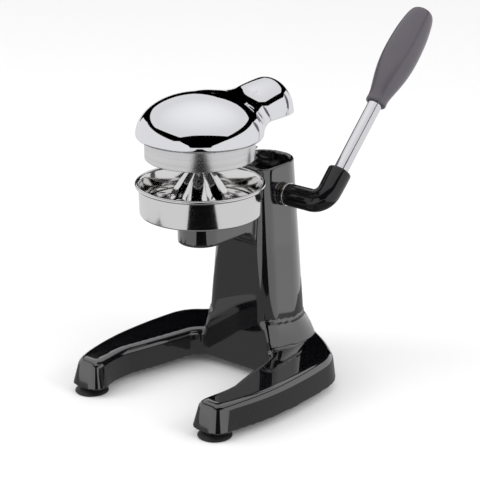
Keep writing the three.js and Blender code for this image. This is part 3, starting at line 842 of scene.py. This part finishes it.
# ---------------------------------------------------------------- bowl, strainer, reamer
def build_bowl():
    """The bowl's sheet from the spout out and up to the curled rim, then back down inside."""
    s = BOWL_SHEET
    bottom = BOWL_SEAT + 0.3
    foot = BOWL_RADIUS - 0.9
    spout_end = BOSS_BOTTOM + 2
    r = RIM_CURL_RADIUS
    cx = BOWL_RIM_RADIUS - r
    cz = BOWL_RIM_Z - r
    curl_angles = np.linspace(-2.3, math.pi - 0.35, 18)
    curl = [(cx + r * math.cos(a), cz + r * math.sin(a)) for a in curl_angles]
    outside = rounded(
        [
            (SPOUT_RADIUS, spout_end), (SPOUT_RADIUS, bottom), (foot, bottom), (BOWL_RADIUS, BOWL_RIM_Z - 4),
            (BOWL_RADIUS + 0.3, cz - 1.6),
        ],
        {1: 2.4, 2: 1.9, 3: 1.0}, 8,
    )
    inside = rounded(
        [
            (BOWL_RADIUS - s, BOWL_RIM_Z - 2.4), (foot - s, bottom + s), (SPOUT_RADIUS - s, bottom + s - 0.8),
            (SPOUT_RADIUS - s, spout_end),
        ],
        {1: 1.6, 2: 2.6}, 8,
    )
    verts, faces = turned([*outside, *curl, *inside], 180)
    steel = looks["polished_steel"]
    obj = make_object("bowl", to_row(verts), faces, "stand", steel, ["juice_bowl"])
    keep_edges(obj, 50)


def build_strainer():
    """A slotted plate: a polar grid with the slots' cells left out, given its sheet's thickness."""
    inner_edge, slope_start, slope_end, outer_edge = 16.4, 37, 56.4, 57.2
    radii = [
        inner_edge, 18, 22, 26, 30, 34, 36, 37.4, 39.5, 41.6, 43.4, 45.2, 46, 48, 50, 52, 54, 55.4,
        slope_end, outer_edge,
    ]
    count = STRAINER_CELLS

    def height(radius):
        t = np.clip((radius - slope_start) / (slope_end - slope_start), 0, 1)
        drop = 0.5 * max(radius - slope_end, 0)
        return STRAINER_PLATEAU_Z - (STRAINER_PLATEAU_Z - STRAINER_EDGE_Z) * t - drop

    verts = []
    for radius in radii:
        verts += circle(radius, height(radius), count)
    verts += circle(outer_edge, STRAINER_SKIRT_Z, count)
    verts += circle(inner_edge, STRAINER_PLATEAU_Z + STRAINER_LIP, count)
    rows = [(n, n + 1) for n in range(len(radii))] + [(len(radii) + 1, 0)]
    faces = []
    for low, high in rows:
        middle = (radii[low] + radii[high]) / 2 if high < len(radii) and low < len(radii) else 0
        for k in range(count):
            outer_slot = 46 < middle < 54 and k % SLOT_PITCH in (0, 1)
            inner_slot = 37.4 < middle < 43.4 and k % SLOT_PITCH in (6, 7)
            if outer_slot or inner_slot:
                continue
            n = (k + 1) % count
            faces.append((low * count + k, high * count + k, high * count + n, low * count + n))
    steel = looks["polished_steel"]
    obj = make_object("strainer_plate", to_row(verts), faces, "stand", steel, ["strainer"])
    sheet = obj.modifiers.new("sheet", "SOLIDIFY")
    sheet.thickness = 1.0 / MM
    sheet.offset = -1
    add_bevel(obj, 0.25, 40)
    keep_edges(obj, 45)


def reamer_levels():
    """Radius, height and groove strength from the reamer's foot to its tip."""
    curve = smooth_curve(
        [
            (31, 0.9), (30.6, 4), (28.4, 8), (25.4, 13.2), (21.4, 19.4), (16.6, 26), (11.6, 32), (7, 36.6),
            (3, 39.4),
        ],
        7,
    )
    curve.append(np.array([1.2, REAMER_HEIGHT]))
    levels = [(34.0, 0.0, 0), (34.0, 1.2, 0), (33.4, 1.8, 0), (31.4, 1.9, 0.05)]
    for radius, height in curve[3:]:
        groove = smooth_step(height, 1.8, 6) * (1 - 0.55 * smooth_step(height, 30, REAMER_HEIGHT))
        levels.append((radius, height, float(groove)))
    return levels


def build_reamer():
    """A ribbed cone: rounded ridges that sharpen and meet near the tip, on a plain round foot."""
    count = REAMER_RIBS * 24
    levels = reamer_levels()
    verts = []
    faces = []
    for radius, height, groove in levels:
        for k in range(count):
            angle = 2 * math.pi * k / count
            wave = abs(math.sin(REAMER_RIBS * angle / 2)) ** 0.8
            r = radius - groove * GROOVE_DEPTH * radius * wave
            verts.append((r * math.cos(angle), r * math.sin(angle), REAMER_SEAT + height))
    tip = len(verts)
    verts.append((0, 0, REAMER_SEAT + REAMER_HEIGHT + 0.1))
    for level in range(len(levels) - 1):
        for k in range(count):
            n = (k + 1) % count
            a = level * count
            b = a + count
            faces.append((a + k, a + n, b + n, b + k))
    top = (len(levels) - 1) * count
    for k in range(count):
        faces.append((top + k, top + (k + 1) % count, tip))

    hollow = [(27, 0), (27, 3), (22, 11), (15, 22), (7, 32)]
    start = len(verts)
    for radius, height in hollow:
        verts += circle(radius, REAMER_SEAT + height, count)
    crown = len(verts)
    verts.append((0, 0, REAMER_SEAT + 35))
    last = start + (len(hollow) - 1) * count
    for k in range(count):
        n = (k + 1) % count
        faces.append((n, k, start + k, start + n))
        for level in range(len(hollow) - 1):
            a = start + level * count
            b = a + count
            faces.append((a + n, a + k, b + k, b + n))
        faces.append((last + n, last + k, crown))
    steel = looks["polished_steel"]
    obj = make_object("reamer", to_row(verts), faces, "stand", steel, ["reamer_cone"])
    keep_edges(obj, 55)


# ---------------------------------------------------------------- feet
def build_foot(name):
    """A soft disc foot: flat ring on the floor, hollow middle and a waist under the leg."""
    low, high = box_mm(name)
    centre = (low + high) / 2
    top = high[2]
    r = (high[0] - low[0]) / 2
    profile = [
        (2.7, 2.4), (8.6, 2.4), (10.4, 0), (r - 0.8, 0), (r, 0.5), (r - 0.2, 1.5), (r - 1.9, 2.9),
        (13.2, 4.4), (11.4, 5.6), (10.8, 6.6), (11.2, 7.4), (11.6, top), (2.7, top),
    ]
    verts, faces = turned(rounded(profile, {3: 0.5, 4: 0.6, 5: 1, 6: 2, 7: 2, 8: 2, 9: 1, 10: 1}), 72)
    verts = verts + np.array([centre[0], centre[1] - SHIFT_Y, 0])
    obj = make_object(f"rubber_{name}", to_row(verts), faces, "stand", looks["rubber"], [name])
    keep_edges(obj, 50)


# ---------------------------------------------------------------- lever
def swept_tube(path, radii, segments=64):
    """A solid tube along a path of points, with a radius at each and flat ends."""
    path = np.array(path)
    tangent = np.gradient(path, axis=0)
    tangent /= np.linalg.norm(tangent, axis=1)[:, None]
    side = np.array([0.0, 1.0, 0.0])  # the path lies in the XZ plane
    verts = []
    for point, along, radius in zip(path, tangent, radii):
        across = np.cross(side, along)
        for k in range(segments):
            angle = 2 * math.pi * k / segments
            verts.append(point + radius * (math.cos(angle) * side + math.sin(angle) * across))
    faces = []
    for ring in range(len(path) - 1):
        for k in range(segments):
            n = (k + 1) % segments
            a = ring * segments
            faces.append((a + k, a + n, a + segments + n, a + segments + k))
    faces.append(tuple(reversed(range(segments))))
    last = (len(path) - 1) * segments
    faces.append(tuple(range(last, last + segments)))
    return np.array(verts), faces


def build_elbow():
    """The cast elbow: from the hub along the shaft, round one bend and up to the rod's socket."""
    start_x = elbow_low[0]
    bend = ELBOW_BEND
    path = [(start_x + 0.01, 0, 0), (start_x + 0.6, 0, 0), (start_x + 1.6, 0, 0)]
    path += [(x, 0, 0) for x in np.linspace(start_x + 3, ROD_X - bend - 1, 8)]
    for angle in np.linspace(0, math.pi / 2, 22):
        path.append((ROD_X - bend + bend * math.sin(angle), 0, bend - bend * math.cos(angle)))
    path += [(ROD_X, 0, z) for z in np.linspace(bend + 2, SOCKET_END - 3, 8)]
    path += [(ROD_X, 0, SOCKET_END - back) for back in (1.4, 0.5, 0.01)]
    steps = np.linalg.norm(np.diff(np.array(path), axis=0), axis=1)
    lengths = np.concatenate([[0], np.cumsum(steps)])
    part = lengths / lengths[-1]
    radii = ELBOW_RADIUS + ELBOW_GROWTH * smooth_step(part, 0.25, 0.9)
    radii[0] -= 1.1
    radii[1] -= 0.35
    radii[-1] -= 1.5
    radii[-2] -= 0.5
    radii[-3] -= 0.05
    verts, faces = swept_tube(path, radii)
    verts = to_row(lever_to_press(verts))
    # a darker, less reflective copy of the casting's gloss black: painted shade on the elbow
    black = looks["black_paint_elbow"]
    obj = make_object("elbow", verts, faces, "lever", black, ["lever_elbow"])
    keep_edges(obj, 50)


def lever_turning(name, profile, material, node, sharp):
    """A piece turned about the rod's axis."""
    verts, faces = turned(profile, 96)
    verts = to_row(lever_to_press(verts + np.array([ROD_X, 0, 0])))
    obj = make_object(name, verts, faces, "lever", material, [node])
    keep_edges(obj, sharp)


def build_rod():
    r = ROD_RADIUS
    profile = [(r - ROD_WALL, ROD_START), (r, ROD_START), (r, ROD_END), (r - ROD_WALL, ROD_END)]
    lever_turning("rod", profile, looks["rod"], "lever_rod", 45)


def build_grip():
    def along(fraction):
        return GRIP_START + (GRIP_END - GRIP_START) * fraction

    outer = smooth_curve(
        [
            (10.9, along(0.03)), (10.9, along(0.06)), (11.6, along(0.105)), (13.6, along(0.18)),
            (15.7, along(0.26)), (17.5, along(0.35)), (18.5, along(0.44)), (18.8, along(0.53)),
            (18.5, along(0.63)), (17.7, along(0.73)), (16.3, along(0.82)), (14.2, along(0.91)),
            (11.7, along(0.963)), (8.2, along(0.989)), (4.0, along(0.999)),
        ],
        7,
    )
    bore = ROD_RADIUS + 0.15
    mouth = [
        (bore, along(0.012)), (bore + 0.5, along(0)), (10.0, along(0)), (10.8, along(0.006)),
        (11.1, along(0.017)),
    ]
    profile = [*mouth, *outer, (0.0, along(1.0)), (0.0, ROD_END + 0.3), (bore, ROD_END + 0.3)]
    lever_turning("grip", profile, looks["grip_plastic"], "lever_grip", 60)


def build_washer():
    low, high = box_mm("hub_washer")
    r = (high[2] - low[2]) / 2
    step = low[0] + WASHER_COLLAR
    profile = [(6.3, low[0]), (10.0, low[0]), (10.0, step), (r, step), (r, high[0]), (6.3, high[0])]
    verts, faces = turned(rounded(profile, {1: 0.2, 3: 0.5, 4: 0.5}), 96)
    verts = to_row(turn_to_shaft(verts))
    obj = make_object("washer", verts, faces, "lever", looks["chrome"], ["hub_washer"])
    keep_edges(obj, 40)


def build_cap():
    low, high = box_mm("bearing_cap")
    face = high[0] - 2.2
    profile = smooth_curve([(0, low[0]), (5, low[0] + 0.2), (9, low[0] + 1.1), (11.2, face - 0.4)], 8)
    profile += [np.array(q) for q in ((11.2, face), (8.7, face), (8.7, high[0]), (0.0, high[0]))]
    verts, faces = turned(profile, 72)
    verts = to_row(turn_to_shaft(verts))
    # the same darker copy of the gloss black: painted shade on the cap
    black = looks["black_paint_elbow"]
    obj = make_object("cap", verts, faces, "stand", black, ["bearing_cap"])
    keep_edges(obj, 40)


# ---------------------------------------------------------------- CAD nodes that stay
def finish_node(name, width_mm):
    obj = frame["nodes"][name]
    slots = {row["node"]: row["material_slot"] for row in frame["record"]["subparts"]}
    material = looks[slots[name]]
    for place in obj.material_slots:
        place.material = material
    if not obj.material_slots:
        obj.data.materials.append(material)
    add_bevel(obj, width_mm, 35)
    smooth = obj.modifiers.new("smooth", "EDGE_SPLIT")
    smooth.split_angle = math.radians(32)
    obj.data.polygons.foreach_set("use_smooth", [True] * len(obj.data.polygons))


# ---------------------------------------------------------------- studio
CAMERA_AZIMUTH = 39.88
CAMERA_ELEVATION = 19.40
CAMERA_DISTANCE = 1779.2
CAMERA_LENS = 136.1
AIM = (51.27, 0.0, 173.16)

# The light tent round the press, in mm: distances forward to the camera, aside, and up.
TENT_HALF = 650.0
TENT_WALL_TOP = 573.0
TENT_REAR = -1100.0
ROOF_HEIGHT = 700.0
WALL_GLOW = 0.80
ROOF_EDGE_GLOW = 0.76
ROOF_CENTRE_GLOW = 0.95
TABLE_GLOW = 0.74
NEAR_TABLE_GLOW = 0.20


def tent_point(forward, aside, up):
    """From tent distances to the row frame. The tent's mouth faces the camera."""
    a = math.radians(CAMERA_AZIMUTH)
    x = forward * math.sin(a) + aside * math.cos(a)
    y = -forward * math.cos(a) + aside * math.sin(a)
    return to_row([(x, y, up)])[0]


def add_camera():
    azimuth = math.radians(CAMERA_AZIMUTH)
    elevation = math.radians(CAMERA_ELEVATION)
    level = math.cos(elevation)
    away = Vector((math.sin(azimuth) * level, -math.cos(azimuth) * level, math.sin(elevation)))
    aim = Vector(to_row([AIM])[0])
    data = bpy.data.cameras.new("camera")
    data.lens = CAMERA_LENS
    data.sensor_width = 36
    data.clip_end = 60
    camera = bpy.data.objects.new("camera", data)
    camera.location = aim + away * (CAMERA_DISTANCE / MM)
    camera.rotation_euler = (-away).to_track_quat("-Z", "Y").to_euler()
    bpy.context.scene.collection.objects.link(camera)
    bpy.context.scene.camera = camera


def staged_mesh(name, verts, faces, material):
    mesh = bpy.data.meshes.new(name)
    mesh.from_pydata([tuple(v) for v in verts], [], faces)
    mesh.materials.append(material)
    obj = bpy.data.objects.new(name, mesh)
    bpy.context.scene.collection.objects.link(obj)
    return obj


def add_floor():
    material, _, shader = new_material("pale_floor")
    shader.inputs["Base Color"].default_value = (0.9, 0.9, 0.9, 1)
    shader.inputs["Roughness"].default_value = 0.9
    shader.inputs["Specular IOR Level"].default_value = 0.1
    count = 96
    verts = []
    for radius in (1.5, 14.0):
        for k in range(count):
            angle = 2 * math.pi * k / count
            verts.append((radius * math.cos(angle), radius * math.sin(angle), -0.0004))
    faces = [tuple(range(count))]
    for k in range(count):
        n = (k + 1) % count
        faces.append((k, count + k, count + n, n))
    staged_mesh("floor", verts, faces, material)


def glow_material(name, strength, centre_strength=None, centre=None):
    """A glowing cloth, evenly lit or brightest at its centre, for the metal and enamel to mirror."""
    material = bpy.data.materials.new(name)
    material.use_nodes = True
    tree = material.node_tree
    tree.nodes.clear()
    out = tree.nodes.new("ShaderNodeOutputMaterial")
    glow = tree.nodes.new("ShaderNodeEmission")
    glow.inputs["Color"].default_value = (1.0, 0.998, 1.012, 1)
    glow.inputs["Strength"].default_value = strength
    tree.links.new(glow.outputs["Emission"], out.inputs["Surface"])
    material.cycles.emission_sampling = "NONE"
    if centre_strength is not None:
        coordinate = tree.nodes.new("ShaderNodeTexCoord")
        distance = tree.nodes.new("ShaderNodeVectorMath")
        distance.operation = "DISTANCE"
        distance.inputs[1].default_value = centre
        spread = tree.nodes.new("ShaderNodeMapRange")
        spread.interpolation_type = "SMOOTHSTEP"
        spread.inputs["From Min"].default_value = 0.0
        spread.inputs["From Max"].default_value = 0.55
        spread.inputs["To Min"].default_value = centre_strength
        spread.inputs["To Max"].default_value = strength
        tree.links.new(coordinate.outputs["Object"], distance.inputs[0])
        tree.links.new(distance.outputs["Value"], spread.inputs["Value"])
        tree.links.new(spread.outputs["Result"], glow.inputs["Strength"])
    return material


def add_card(name, corners, material):
    """A flat card that shows in mirror reflections and nowhere else."""
    verts = [tent_point(*corner) for corner in corners]
    card = staged_mesh(name, verts, [tuple(range(len(verts)))], material)
    card.visible_camera = False
    card.visible_diffuse = False
    card.visible_shadow = False
    card.visible_transmission = False
    card.visible_volume_scatter = False


def add_tent():
    side, top, low = TENT_HALF, TENT_WALL_TOP, 0.5
    roof = [
        (410, 600), (-209, 640), (-600, 640), (-870, 343), (-900, 124), (-1480, -102), (-1560, -467),
        (-1500, -640), (-146, -700), (516, -391), (440, -100),
    ]
    centre = tent_point(-126, 18, ROOF_HEIGHT)
    cloth = glow_material("tent_roof_cloth", ROOF_EDGE_GLOW, ROOF_CENTRE_GLOW, centre)
    add_card("tent_roof", [(f, a, ROOF_HEIGHT) for f, a in roof], cloth)
    wall = glow_material("tent_wall_cloth", WALL_GLOW)
    for name, hand in (("tent_left", -1), ("tent_right", 1)):
        wall_side = [(side, low), (side, top), (-500, top), (TENT_REAR, 420), (TENT_REAR, low)]
        add_card(name, [(f, hand * side, z) for f, z in wall_side], wall)
    left_flap = [(-side, low), (-side, top), (-455, top), (-211, 360), (-180, 290), (-180, low)]
    right_flap = [(side, low), (side, top), (276, 350), (240, 290), (240, low)]
    add_card("tent_front_left", [(side, a, z) for a, z in left_flap], wall)
    add_card("tent_front_right", [(side, a, z) for a, z in right_flap], wall)

    count = 64
    turn = [2 * math.pi * k / count for k in range(count)]
    table = glow_material("tent_table_cloth", TABLE_GLOW)
    add_card("tent_table", [(3000 * math.cos(t), 3000 * math.sin(t), -0.2) for t in turn], table)
    near = [
        (235, -200), (400, -170), (400, 240), (230, 300), (60, 325), (-200, 325), (-330, 200), (-340, -250),
        (-200, -460), (100, -490), (160, -420),
    ]
    dark = glow_material("tent_near_table", NEAR_TABLE_GLOW)
    add_card("tent_near_table", [(f, a, 0.0) for f, a in near], dark)
    mouth = [(380, -175), (380, 250), (2900, 250), (2900, -175)]
    add_card("tent_mouth", [(f, a, 0.2) for f, a in mouth], glow_material("tent_mouth", 0.004))


def add_softbox(name, azimuth, elevation, distance, size, power, aim=(0.0, -0.05, 0.2)):
    """A rectangular light that faces the press. Azimuth 0 is in front of the legs, 90 on the lever's side."""
    a = math.radians(azimuth)
    e = math.radians(elevation)
    away = Vector((math.sin(a) * math.cos(e), -math.cos(a) * math.cos(e), math.sin(e)))
    data = bpy.data.lights.new(name, "AREA")
    data.shape = "RECTANGLE"
    data.size, data.size_y = size
    data.energy = power
    obj = bpy.data.objects.new(name, data)
    obj.location = Vector(aim) + away * distance
    obj.rotation_euler = (-away).to_track_quat("-Z", "Y").to_euler()
    obj.visible_camera = False
    obj.visible_glossy = False
    bpy.context.scene.collection.objects.link(obj)


def add_world():
    """Even soft light from all round; the mirrors see the tent instead."""
    world = bpy.data.worlds.new("studio")
    bpy.context.scene.world = world
    world.use_nodes = True
    background = world.node_tree.nodes["Background"]
    background.inputs["Color"].default_value = (1.0, 1.0, 1.0, 1)
    background.inputs["Strength"].default_value = 0.95
    world.cycles_visibility.glossy = False


def add_studio():
    add_world()
    add_floor()
    add_tent()
    add_softbox("softbox_right", 100, 30, 2.2, (1.3, 1.3), 16)
    add_softbox("softbox_left", -40, 35, 2.2, (1.3, 1.3), 16)
    add_camera()
    bpy.context.scene.view_settings.view_transform = "Standard"


# ---------------------------------------------------------------- build
build_casting()
build_cover()
build_bell()
build_bowl()
build_strainer()
build_reamer()
build_elbow()
build_rod()
build_grip()
build_washer()
build_cap()
for foot in ("foot_front_right", "foot_front_left", "foot_rear_right", "foot_rear_left"):
    build_foot(foot)

rebuilt = {
    "frame_casting", "head_cover", "press_bell", "juice_bowl", "strainer", "reamer_cone", "lever_elbow",
    "lever_rod", "lever_grip", "hub_washer", "bearing_cap", "foot_front_right", "foot_front_left",
    "foot_rear_right", "foot_rear_left",
}
for node in frame["nodes"]:
    if node not in rebuilt:
        finish_node(node, 0.25)

add_studio()
